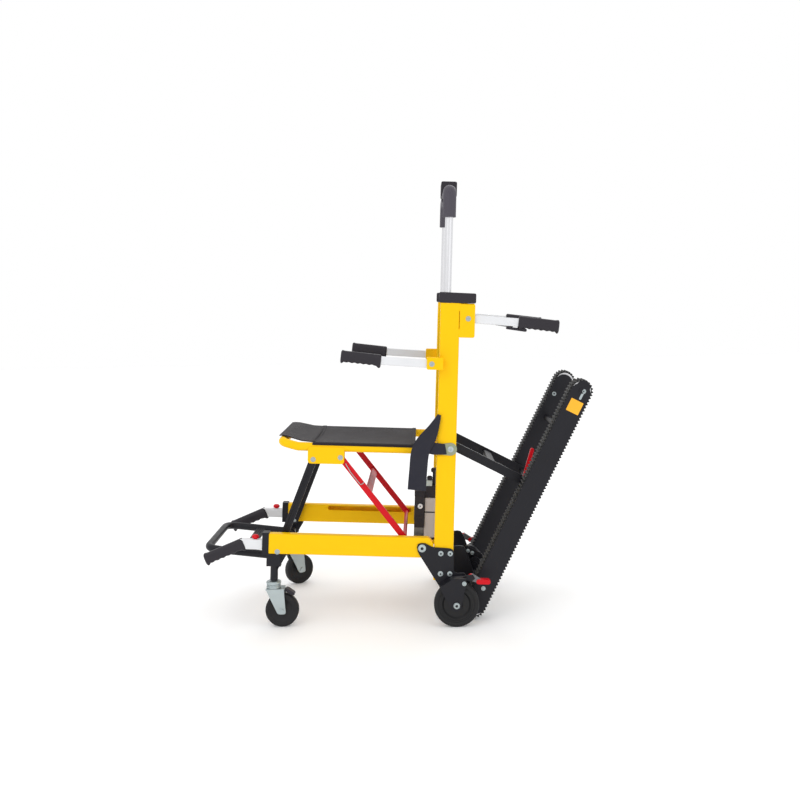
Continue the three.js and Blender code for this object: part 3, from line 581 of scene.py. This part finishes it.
# ---- lower rails and what they carry ----
def build_rails(name, side):
    section = round_rect(SIDE_OUT - SIDE_IN, 2 * RAIL["half"], 5)
    tube = loft([[(x, side * SIDE_MID + a, b) for a, b in section] for x in (RAIL["front"], 2)])
    made = piece(f"rail_{name}_tube", tube, YELLOW, "rails", (f"rail_{name}",), 0.8)
    slot = [(SLOT["front"], SLOT["low"]), (SLOT["back"], SLOT["low"]),
            (SLOT["back"], SLOT["high"]), (SLOT["front"], SLOT["high"])]
    carve(made, plate(slot, on_side(side, SIDE_IN - 5, SIDE_IN + 26), 6.8))
    heel = [(0, -RAIL["half"])]
    for k in range(15):
        turn = math.radians(-58 + 116 * k / 14)
        heel.append((RAIL["heel"] * math.cos(turn), RAIL["heel"] * math.sin(turn)))
    heel.append((0, RAIL["half"]))
    piece(f"rail_{name}_heel", plate(heel, on_side(side, SIDE_IN + 0.2, SIDE_OUT - 0.2)), YELLOW, "rails",
          (), 2.5)
    piece(f"strut_pin_{name}", rod(STRUT_FOOT, 5, on_side(side, 184.5, SIDE_IN + 1)), ZINC, "rails",
          (), 0.6)
    bolt(f"strut_foot_bolt_{name}", STRUT_FOOT, SIDE_OUT, side, "rails", 6.2, 3.4)
    refined(f"rail_end_{name}", BLACK, "rails", 1.2)


def build_footrest():
    y, r = FOOTREST["y"], FOOTREST["r"]
    loop = fillet([
        (FOOT_HINGE[0], -y, FOOT_HINGE[1]), (FOOTREST["front"], -y, FOOTREST["front_z"]),
        (FOOTREST["front"], y, FOOTREST["front_z"]), (FOOT_HINGE[0], y, FOOT_HINGE[1]),
    ], FOOTREST["bend"], turns=14)
    tube = sweep(loop, circle(r), (0, 0, 1))
    piece("footrest_loop", tube, BLACK, "footrest", ("footrest",))
    for name, side in SIDES:
        sleeve = rod(FOOT_HINGE, 14, on_side(side, y - 13, y + 13))
        piece(f"footrest_sleeve_{name}", sleeve, BLACK, "footrest", (), 1.4)
    tread = block((-556, -524), (-y + 4, y - 4), (-49, -43))
    piece("footrest_tread", tread, BLACK, "footrest", (), 1.2)
    for i in range(4):
        x = -551 + 7.5 * i
        rib = block((x, x + 3), (-y + 20, y - 20), (-43.4, -41.8))
        piece(f"footrest_rib_{i}", rib, RUBBER, "footrest", (), 0.5)
    refined("front_cross_tube", BLACK, "rails", 0.8)


def build_low_handles(name, side):
    body = f"low_handle_{name}"
    y = on_side(side, SIDE_MID - 10, SIDE_MID + 10)
    outline = [(LOW_TUBE["back"], LOW_TUBE["low"]), (LOW_TUBE["back"], LOW_TUBE["high"]),
               (LOW_TUBE["front"], LOW_TUBE["high"]), (LOW_TUBE["front"] + 12, LOW_TUBE["low"])]
    piece(f"{body}_tube", plate(outline, y), BAR, body, (body,), 2.4)
    grip(f"{body}_grip", (-534, -3.5), (-649, -56.5), side * SIDE_MID, 19.5, 14.5, body)
    knob = turned_z([(0.2, 9.5), (5, 9.5), (5, 12.5), (10, 13.5), (11, 17), (10.4, 20.5), (6.5, 23.6),
                     (0.2, 24.4)],
                    (-501, side * SIDE_MID))
    piece(f"knob_{name}_head", knob, RED, f"knob_{name}", (f"plunger_knob_{name}",))


def turned_z(profile, centre, sides=40):
    """A round piece about a Z axis through (x, y), from (radius, z) pairs."""
    return loft([[(centre[0] + a, centre[1] + b, z) for a, b in circle(r, sides)] for r, z in profile])


# ---- wheels ----
def wheel_place(joint):
    """The frame of a wheel: its joint's place, with Y along its axle, in millimetres."""
    axle = Vector(JOINTS[joint]["axis"])
    turn = math.atan2(-axle.x, axle.y)
    return (Matrix.Translation(JOINTS[joint]["pos_m"]) @ Matrix.Rotation(turn, 4, "Z")
            @ Matrix.Scale(MM, 4))


def build_casters(name):
    place = wheel_place(f"caster_wheel_{name}_spin")
    half, r = CASTER["half"], CASTER["r"]
    tyre = turned_y([(33, -half + 2), (44, -half), (47.5, -half + 2), (r, -half + 7), (r, half - 7),
                     (47.5, half - 2), (44, half), (33, half - 2)], (0, 0), 72)
    piece(f"caster_tyre_{name}", tyre, RUBBER, f"caster_wheel_{name}", (f"caster_wheel_{name}",),
          0.8, place=place)
    hub = turned_y([(5, -half), (12, -half), (14, -half + 4), (28, -half + 5), (34, -half + 2),
                    (34, half - 2), (28, half - 5), (14, half - 4), (12, half), (5, half)], (0, 0), 60)
    piece(f"caster_hub_{name}", hub, HUB, f"caster_wheel_{name}", (), place=place)
    refined(f"caster_fork_{name}", ZINC, f"caster_{name}", 0.8)
    head = place @ Matrix.Translation((-24, 0, 74.8))
    for i, (low, high, r) in enumerate(((-8, -3, 22.4), (-1.5, 2.5, 21.2), (4, 10, 22.4))):
        race = turned_z([(19.6, low), (r - 1, low), (r, low + 1), (r, high - 1), (r - 1, high), (19.6, high)],
                        (0, 0))
        piece(f"caster_race_{name}_{i}", race, ZINC, f"caster_{name}", (), place=head)
    refined(f"caster_pedal_{name}", PLASTIC, f"caster_pedal_{name}", 1.2)


def build_rear_wheels(name):
    place = wheel_place(f"rear_wheel_{name}_spin")
    half, r = WHEEL["half"], WHEEL["r"]
    flank = [(r, half - 6.5), (r - 2.2, half - 2.5), (r - 6, half - 0.4), (r - 12, half - 0.8),
             (r - 14, half - 2.2), (r - 16, half - 0.8), (r - 20, half - 1.2), (46, half - 3.5)]
    tyre = [(a, b) for a, b in flank] + [(46, -half + 3.5)] + [(a, -b) for a, b in reversed(flank[:-1])]
    piece(f"rear_tyre_{name}", turned_y(tyre, (0, 0), 84), RUBBER, f"rear_wheel_{name}",
          (f"rear_wheel_{name}",), place=place, angle=50)
    disc = [(6.6, half), (15, half), (19, half - 6), (38, half - 7), (43, half - 2.5), (46.4, half - 2.5)]
    hub = disc + [(a, -b) for a, b in reversed(disc)]
    piece(f"rear_hub_{name}", turned_y(hub, (0, 0), 72), HUB, f"rear_wheel_{name}", (),
          place=place)
    refined(f"brake_pedal_{name}", RED, f"brake_pedal_{name}", 2.2)
    side = 1 if name == "right" else -1
    lever = plate(bar_outline((150.4, -77), (170, -86), 9.6, 7.4), on_side(side, 250.5, 263.5))
    piece(f"brake_lever_{name}", lever, LEVER, f"brake_pedal_{name}", (), 1.2)


# ---- seat ----
def build_seat_frame():
    y, r, z = SEAT_TUBE["y"], SEAT_TUBE["r"], SEAT_TUBE["z"]
    front, front_z = SEAT_TUBE["front"], SEAT_TUBE["front_z"]
    loop = fillet([
        (SEAT_PIVOT[0] - 6, -y, z), (-385, -y, z), (front, -y, front_z),
        (front, y, front_z), (-385, y, z), (SEAT_PIVOT[0] - 6, y, z),
    ], 40, turns=12)
    piece("seat_tube", sweep(loop, circle(r), (0, 0, 1)), YELLOW, "seat", ("seat_frame",))
    for name, side in SIDES:
        cheek = [(CHANNEL["front"], CHANNEL["bottom"]), (CHANNEL["back"], CHANNEL["bottom"]),
                 (CHANNEL["back"], z + 2), (CHANNEL["front"], z + 2)]
        channel = merge(
            plate(cheek, on_side(side, y + 12, y + 15.2), 11),
            plate(cheek, on_side(side, y - 9, y - 6), 11),
            block((CHANNEL["front"] + 6, CHANNEL["back"] - 6), on_side(side, y - 8, y + 14),
                  (z - r - 2.4, z - r + 1)),
        )
        piece(f"seat_channel_{name}", channel, YELLOW, "seat", (), 0.9)
        for end, at in (("front", STRUT_HEAD), ("rear", BRACE_HEAD)):
            piece(f"seat_pin_{end}_{name}", rod(at, 4, on_side(side, y - 8, y + 14)), ZINC, "seat")
            bolt(f"seat_bolt_{end}_{name}", at, y + 15.2, side, "seat", 6.2, 3.4)
        boss = turned_y([(8.7, y - 10), (16, y - 10), (17, y - 9), (17, y + 11), (16, y + 12), (8.7, y + 12)],
                        SEAT_PIVOT)
        if side < 0:
            boss.transform(Matrix.Scale(-1, 4, (0, 1, 0)))
            bmesh.ops.reverse_faces(boss, faces=boss.faces)
        piece(f"seat_pivot_boss_{name}", boss, YELLOW, "seat")


def build_seat_cloth():
    """A sling wrapped over both side tubes, with a narrower flap down to the front tube."""
    y, r, z = SEAT_TUBE["y"], SEAT_TUBE["r"], SEAT_TUBE["z"]
    skin = r + 1.5
    rows = []
    for i in range(57):
        t = i / 56
        x = -340 + 308 * t
        sag = 9 + 3.5 * math.sin(math.pi * t)
        row = []
        for k in range(9):
            turn = math.radians(150 - 60 * k / 8)
            row.append((x, -y + skin * math.cos(turn), z + skin * math.sin(turn)))
        for k in range(1, 48):
            u = k / 48
            ripple = 0.6 * math.sin(x / 26 + 2 * math.sin(7 * u)) * math.sin(math.pi * u)
            row.append((x, -y + 2 * y * u, z + skin - sag * math.sin(math.pi * u) ** 0.8 + ripple))
        for k in range(9):
            turn = math.radians(90 - 60 * k / 8)
            row.append((x, y + skin * math.cos(turn), z + skin * math.sin(turn)))
        rows.append(row)
    cloth("seat_cloth", rows, FABRIC, "seat",
          ("seat_sling",), thick=2.0)
    front = [(-446, 314.4, 160), (-437, 315.2, 163), (-422, 314.2, 168), (-400, 309, 176),
             (-375, 303.4, 182), (-350, 301.9, 186), (-339, 301.6, 187)]
    flap = []
    for x, top, wide in front:
        sag = 4 * min(max((x + 420) / 30, 0), 1)
        flap.append([(x, wide * (k / 14 - 1), top - sag * math.sin(math.pi * k / 28)) for k in range(29)])
    cloth("seat_front_flap", flap, FABRIC, "seat", thick=2.0)
    for name, x in (("front", -338), ("rear", -34)):
        hem = []
        for k in range(41):
            u = k / 40
            hem.append((x, -y + 2 * y * u, z + skin + 1.2 - 9 * math.sin(math.pi * u) ** 0.8))
        edging = sweep(hem, round_rect(2.4, 12, 1), (1, 0, 0))
        piece(f"seat_{name}_hem", edging, FABRIC, "seat")


def build_links(name, side):
    body = f"strut_{name}"
    outline = bar_outline(STRUT_FOOT, STRUT_HEAD, 11.5)
    bar = plate(outline, on_side(side, 186, 198))
    made = piece(f"{body}_bar", bar, BLACK, body, (body,), 1.4)
    groove = bar_outline(between(STRUT_FOOT, STRUT_HEAD, 0.12), between(STRUT_FOOT, STRUT_HEAD, 0.86), 4.4)
    carve(made, plate(groove, on_side(side, 194.5, 200)))
    inner = plate(groove, on_side(side, 184, 189.5))
    carve(made, inner)


def build_brace():
    refined("brace_frame", RED, "brace", 1.0)
    for name, side in SIDES:
        y = side * 197.6
        path = fillet([(-238, y, 240), (-222, y, 214), (-190, y, 176), (-181, y, 184)], 8, turns=8)
        piece(f"brace_wire_{name}", sweep(path, circle(1.3, 14), (0, 1, 0)), ZINC, "brace")


# ---- handles ----
def build_post_handles(name, side):
    for kind, at, elbow, tip, y, half, wide in (
        ("mid", MID_PIVOT, (-137, 557), (-257, 567), 250, 20, 13),
        ("rear", REAR_PIVOT, (271, 682), (393, 671), 220, 21, 14.5),
    ):
        body = f"{kind}_handle_{name}"
        reach = between(elbow, tip, 0.16)
        shank = plate(bar_outline(at, reach, 12.5), on_side(side, y - 7.5, y + 7.5))
        piece(f"{body}_shank", shank, BAR, body, (body,), 2.6)
        grip(f"{body}_grip", elbow, tip, side * y, half, wide, body)
        if kind == "rear":
            strip = plate(bar_outline((238, 664), (292, 659), 3.6, 5), on_side(side, y - 5, y + 5))
            piece(f"{body}_latch", strip, PLASTIC, body, (), 1.4)


def build_top_handle():
    x, y, bar = HANDLE["x"], SIDE_MID, HANDLE["bar"]
    legs = fillet([(x, -y, HANDLE["bottom"]), (x, -y, bar), (x, y, bar), (x, y, HANDLE["bottom"])],
                  HANDLE["bend"], turns=16)
    piece("top_handle_bar", sweep(legs, circle(HANDLE["r"], 40), (1, 0, 0)), SILVER, "top_handle",
          ("top_handle_tube",))
    for name, side in SIDES:
        corner = fillet([(x, side * y, HANDLE["foam_from"]), (x, side * y, bar), (x, side * 50, bar)],
                        HANDLE["bend"], turns=16)
        start, end = Vector(corner[0]), Vector(corner[-1])
        corner = [start, start + Vector((0, 0, 1.5)), start + Vector((0, 0, 5))] + corner[1:-1] + [
            end + Vector((0, side * 5, 0)), end + Vector((0, side * 1.5, 0)), end]
        shape = sweep(corner, circle(HANDLE["foam"], 44), (1, 0, 0))
        foam = piece(f"top_grip_{name}_foam", shape, FOAM, "top_handle", (f"top_grip_{name}",), 3.0,
                     angle=60)
        foam.modifiers["edge"].segments = 4
    refined("control_box", PLASTIC, "top_handle", 1.8)
    refined("direction_rocker", RED, "rocker", 1.0)


# ---- stair track ----
def track_point(along, aside=0):
    return (TRACK_FOOT[0] + along * math.sin(TRACK_LEAN) + aside * math.cos(TRACK_LEAN),
            TRACK_FOOT[1] + along * math.cos(TRACK_LEAN) - aside * math.sin(TRACK_LEAN))


def belt_station(distance, offset):
    """A point on the belt's loop: distance along it, at a given radius from the pulley centres."""
    r = BELT["r"]
    arc = math.pi * r
    distance %= 2 * (TRACK_LENGTH + arc)
    if distance < TRACK_LENGTH:
        return track_point(distance, offset)
    distance -= TRACK_LENGTH
    if distance < arc:
        turn = distance / r
        return track_point(TRACK_LENGTH + offset * math.sin(turn), offset * math.cos(turn))
    distance -= arc
    if distance < TRACK_LENGTH:
        return track_point(TRACK_LENGTH - distance, -offset)
    turn = (distance - TRACK_LENGTH) / r
    return track_point(-offset * math.sin(turn), -offset * math.cos(turn))


def build_belt(name, side):
    """A belt with a cross tooth at every pitch around its outside."""
    around = 2 * (TRACK_LENGTH + math.pi * BELT["r"])
    teeth = round(around / BELT["pitch"])
    low, high = on_side(side, BELT["inner"], BELT["outer"])
    rings = []
    for i in range(teeth):
        for part, rise in ((0.0, -1), (0.3, 0), (0.5, 0), (0.8, -1)):
            at = (i + part) * around / teeth
            outer = belt_station(at, BELT["r"] - 0.1 + rise * BELT["tooth"])
            inner = belt_station(at, BELT["r"] - BELT["thick"])
            rings.append([(outer[0], low + 0.5, outer[1]), (outer[0], high - 0.5, outer[1]),
                          (inner[0], high, inner[1]), (inner[0], low, inner[1])])
    piece(f"belt_{name}_toothed", loft(rings, closed=True), RUBBER, "track",
          (f"track_belt_{name}",),
          angle=28)


def build_tracks():
    for name, side in SIDES:
        build_belt(name, side)
        refined(f"track_chassis_{name}", BLACK, "track", 1.0)
        refined(f"idler_pulley_{name}", SILVER, f"idler_{name}", 0.8)
        tension = bar_outline(track_point(703, 6), track_point(722, 6), 3.6)
        tip = bar_outline(track_point(TRACK_LENGTH - 8), track_point(TRACK_LENGTH + 12), 21)
        tip_plate = plate(tip, on_side(side, 206.4, 208.6))
        piece(f"cover_tip_{name}", tip_plate, BLACK, "track", (), 0.6)
        slot_plate = plate(tension, on_side(side, 208.8, 210.2))
        piece(f"tension_slot_{name}", slot_plate, ZINC, "track", (), 0.4)
        bolt(f"tension_bolt_{name}", track_point(727, 6), 208.8, side, "track", 5.5, 3.4)
        inner = turned_y([(3, -1), (7, -1), (7, 1.2), (3, 1.2)], track_point(672, -14), 32)
        inner.transform(Matrix.Translation((0, side * 139.8, 0)))
        piece(f"inner_washer_{name}", inner, ZINC, "track")
        bolt(f"cover_bolt_low_{name}", track_point(60, 0), 208.8, side, "track", 5, 3)
        patch = [track_point(674 + a, 2 + b) for a, b in ((-20, -20), (20, -20), (20, 20), (-20, 20))]
        patch = plate(patch, on_side(side, 208.8, 209.3), 2)
        piece(f"track_patch_{name}", patch, PATCH, "track")
    refined("drive_shaft", SILVER, "drive_shaft", 0.8)
    refined("track_cross_tube", BLACK, "track", 0.6)
    refined("link_frame", BLACK, "link", 1.2)
    refined("release_lever", RED, "release_lever", 1.6)


# ---- light, floor and camera ----
FLOOR_LIFT = 0.09  # keeps the floor as bright as the backdrop, so that no horizon shows


def build_studio():
    floor_mesh = bpy.data.meshes.new("floor")
    size = 12
    floor_mesh.from_pydata([(-size, -size, 0), (size, -size, 0), (size, size, 0), (-size, size, 0)], [],
                           [(0, 1, 2, 3)])
    floor = bpy.data.objects.new("floor", floor_mesh)
    bpy.context.scene.collection.objects.link(floor)
    paint = material("pale_floor", (0.96, 0.96, 0.96), 0.7, bump=0.0, mottle=0.01)
    shader = next(node for node in paint.node_tree.nodes if node.type == "BSDF_PRINCIPLED")
    shader.inputs["Emission Color"].default_value = (1, 1, 1, 1)
    shader.inputs["Emission Strength"].default_value = FLOOR_LIFT
    floor_mesh.materials.append(paint)
    world = bpy.data.worlds.new("studio")
    world.use_nodes = True
    world.node_tree.nodes["Background"].inputs["Color"].default_value = (1, 1, 1, 1)
    world.node_tree.nodes["Background"].inputs["Strength"].default_value = 1.0
    bpy.context.scene.world = world
    bpy.context.scene.view_settings.view_transform = "Standard"
    for name, at, width, power in (
        ("key", (-1.6, -2.6, 2.8), 1.6, 17),
        ("fill", (2.2, -2.4, 1.6), 1.8, 6),
        ("rim", (0.6, 2.4, 2.6), 1.8, 16),
    ):
        lamp = bpy.data.lights.new(name, "AREA")
        lamp.size = width
        lamp.energy = power
        holder = bpy.data.objects.new(name, lamp)
        holder.location = at
        aim = Vector((0, 0, 0.6)) - Vector(at)
        holder.rotation_euler = aim.to_track_quat("-Z", "Y").to_euler()
        bpy.context.scene.collection.objects.link(holder)
    lens = bpy.data.cameras.new("view")
    lens.lens = 45
    lens.sensor_width = 36
    lens.shift_x = -0.025
    lens.shift_y = -0.1275
    camera = bpy.data.objects.new("view", lens)
    camera.location = (ORIGIN.x + 0.0095, -3.225, 0.976)
    camera.rotation_euler = (math.pi / 2, math.radians(1.2), 0)
    bpy.context.scene.collection.objects.link(camera)
    bpy.context.scene.camera = camera


build_studio()
for label, hand in SIDES:
    build_posts(label, hand)
    build_yokes(label, hand)
    build_rails(label, hand)
    build_low_handles(label, hand)
    build_casters(label)
    build_rear_wheels(label)
    build_links(label, hand)
    build_post_handles(label, hand)
build_back_sling()
build_lap_belts()
build_power_unit()
build_footrest()
build_seat_frame()
build_seat_cloth()
build_brace()
build_top_handle()
build_tracks()
